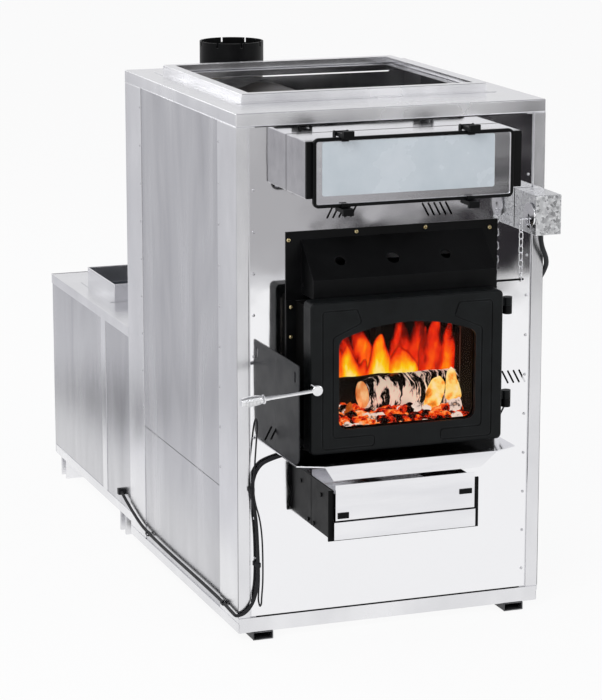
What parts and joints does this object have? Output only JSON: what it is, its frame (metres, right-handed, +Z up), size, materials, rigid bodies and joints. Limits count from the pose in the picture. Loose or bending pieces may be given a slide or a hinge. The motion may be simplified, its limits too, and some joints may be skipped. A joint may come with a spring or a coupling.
{
  "type": "hot air furnace",
  "caption": "Wood-burning hot air furnace: sheet steel cabinet round a firebox and heat exchanger, cast loading door, ash drawer, draft damper, rear return-air box with blower.",
  "frame": {"origin": "on the floor, under the middle of the overall width and length, handle and conduit included", "axes": "+Z up, -Y out of the loading door, +Y to the return-air box, +X right as seen from the front"},
  "size_m": [0.8219, 1.815, 1.288],
  "materials": {
    "frame_steel": "painted steel tube",
    "sheet_steel": "galvanised sheet",
    "satin_sheet": "satin sheet",
    "mirror_sheet": "mirror-polished sheet",
    "polished_steel": "polished stainless sheet",
    "rivet_steel": "bright zinc heads",
    "firebox_steel": "mill-scale steel plate",
    "firebrick": "fired clay brick",
    "grate_iron": "raw cast iron",
    "black_paint": "satin stove paint",
    "cast_paint": "charcoal stove paint on a casting",
    "motor_grey": "enamelled motor case",
    "cable_black": "rubber cable sheath",
    "conduit_grey": "ribbed conduit",
    "door_glass": "ceramic fire glass",
    "rope_grey": "braided glass-fibre rope",
    "bright_chrome": "chrome plate",
    "pale_plate": "pale blue-grey enamel",
    "filter_card": "card frame",
    "filter_pad": "woven filter pad"
  },
  "bodies": {
    "cabinet": {"skid_rails": "frame_steel", "base_pan": "sheet_steel", "corner_posts": "sheet_steel", "top_deck": "sheet_steel", "plenum_collar": "sheet_steel", "front_panel": "mirror_sheet", "side_panels": "satin_sheet", "rear_panel": "sheet_steel", "panel_rivets": "rivet_steel", "firebox_shell": "firebox_steel", "firebrick_lining": "firebrick", "fire_grate": "grate_iron", "smoke_uptake": "firebox_steel", "exchanger_header": "firebox_steel", "exchanger_tubes": "firebox_steel", "exchanger_drum": "firebox_steel", "flue_elbow": "firebox_steel", "flue_collar": "black_paint", "door_surround": "black_paint", "loading_throat": "black_paint", "latch_plate": "black_paint", "air_manifold": "black_paint", "manifold_screws": "rivet_steel", "hearth_shelf": "polished_steel", "ash_box": "black_paint", "hatch_box": "polished_steel", "door_hinges": "black_paint", "control_box": "sheet_steel", "draft_motor": "motor_grey", "return_box_base": "sheet_steel", "return_box_sides": "satin_sheet", "return_box_lid": "sheet_steel", "return_collar": "sheet_steel", "blower_housing": "sheet_steel", "blower_motor": "motor_grey", "filter_rails": "sheet_steel", "wiring_loom": "cable_black", "wiring_clips": "cable_black", "control_cable": "conduit_grey"},
    "loading_door": {"door_casting": "cast_paint", "door_glass": "door_glass", "glass_retainer": "black_paint", "door_gasket": "rope_grey"},
    "door_handle": {"handle_lever": "bright_chrome", "handle_spring": "bright_chrome"},
    "ash_flap": {"ash_flap": "polished_steel"},
    "ash_drawer": {"ash_drawer": "polished_steel"},
    "chain_wheel": {"chain_wheel": "polished_steel"},
    "draft_chain": {"draft_chain": "polished_steel"},
    "damper_flap": {"damper_flap": "black_paint"},
    "hatch_cover": {"hatch_cover": "polished_steel", "badge_plate": "pale_plate"},
    "hatch_clamp_1": {"hatch_clamp_1": "black_paint"},
    "hatch_clamp_2": {"hatch_clamp_2": "black_paint"},
    "hatch_clamp_3": {"hatch_clamp_3": "black_paint"},
    "hatch_clamp_4": {"hatch_clamp_4": "black_paint"},
    "blower_wheel": {"blower_wheel": "sheet_steel"},
    "air_filter": {"filter_frame": "filter_card", "filter_media": "filter_pad"},
    "service_door": {"service_door": "satin_sheet"}
  },
  "joints": [
    {"name": "door_swing", "type": "hinge", "parent": "cabinet", "child": "loading_door", "pos_m": [0.2585, -0.8425, 0.472], "axis": [0, 0, 1], "range_deg": [0, 110]},
    {"name": "handle_turn", "type": "hinge", "parent": "loading_door", "child": "door_handle", "pos_m": [-0.2275, -0.8725, 0.629], "axis": [0, 1, 0], "range_deg": [0, 60]},
    {"name": "ash_flap_swing", "type": "hinge", "parent": "cabinet", "child": "ash_flap", "pos_m": [-0.007, -0.8425, 0.365], "axis": [-1, 0, 0], "range_deg": [0, 70]},
    {"name": "ash_drawer_slide", "type": "slide", "parent": "cabinet", "child": "ash_drawer", "axis": [0, -1, 0], "range_m": [0, 0.35]},
    {"name": "chain_wheel_turn", "type": "hinge", "parent": "cabinet", "child": "chain_wheel", "pos_m": [0.3205, -0.82049, 0.983], "axis": [1, 0, 0], "range_deg": [0, 60]},
    {"name": "chain_lift", "type": "slide", "parent": "cabinet", "child": "draft_chain", "axis": [0, 0, 1], "range_m": [0, 0.0225]},
    {"name": "damper_swing", "type": "hinge", "parent": "cabinet", "child": "damper_flap", "pos_m": [0.0175, -0.7425, 0.841], "axis": [-1, 0, 0], "range_deg": [0, 22.5]},
    {"name": "hatch_cover_slide", "type": "slide", "parent": "cabinet", "child": "hatch_cover", "axis": [0, -1, 0], "range_m": [0, 0.15]},
    {"name": "clamp_1_swing", "type": "hinge", "parent": "cabinet", "child": "hatch_clamp_1", "pos_m": [-0.1565, -0.8485, 1.202], "axis": [-1, 0, 0], "range_deg": [0, 100]},
    {"name": "clamp_2_swing", "type": "hinge", "parent": "cabinet", "child": "hatch_clamp_2", "pos_m": [0.1475, -0.8485, 1.202], "axis": [-1, 0, 0], "range_deg": [0, 100]},
    {"name": "clamp_3_swing", "type": "hinge", "parent": "cabinet", "child": "hatch_clamp_3", "pos_m": [-0.1565, -0.8485, 1.041], "axis": [1, 0, 0], "range_deg": [0, 100]},
    {"name": "clamp_4_swing", "type": "hinge", "parent": "cabinet", "child": "hatch_clamp_4", "pos_m": [0.1475, -0.8485, 1.041], "axis": [1, 0, 0], "range_deg": [0, 100]},
    {"name": "blower_spin", "type": "hinge", "parent": "cabinet", "child": "blower_wheel", "pos_m": [0.0235, 0.2935, 0.294], "axis": [1, 0, 0], "continuous": true},
    {"name": "filter_slide", "type": "slide", "parent": "cabinet", "child": "air_filter", "axis": [1, 0, 0], "range_m": [0, 0.5]},
    {"name": "service_door_swing", "type": "hinge", "parent": "cabinet", "child": "service_door", "pos_m": [-0.3555, 0.9025, 0.31], "axis": [0, 0, 1], "range_deg": [0, 110]}
  ],
  "couplings": [
    {"joint": "chain_lift", "follows": "chain_wheel_turn", "m_per_rad": 0.02101},
    {"joint": "damper_swing", "follows": "chain_wheel_turn", "ratio": 0.3667}
  ]
}
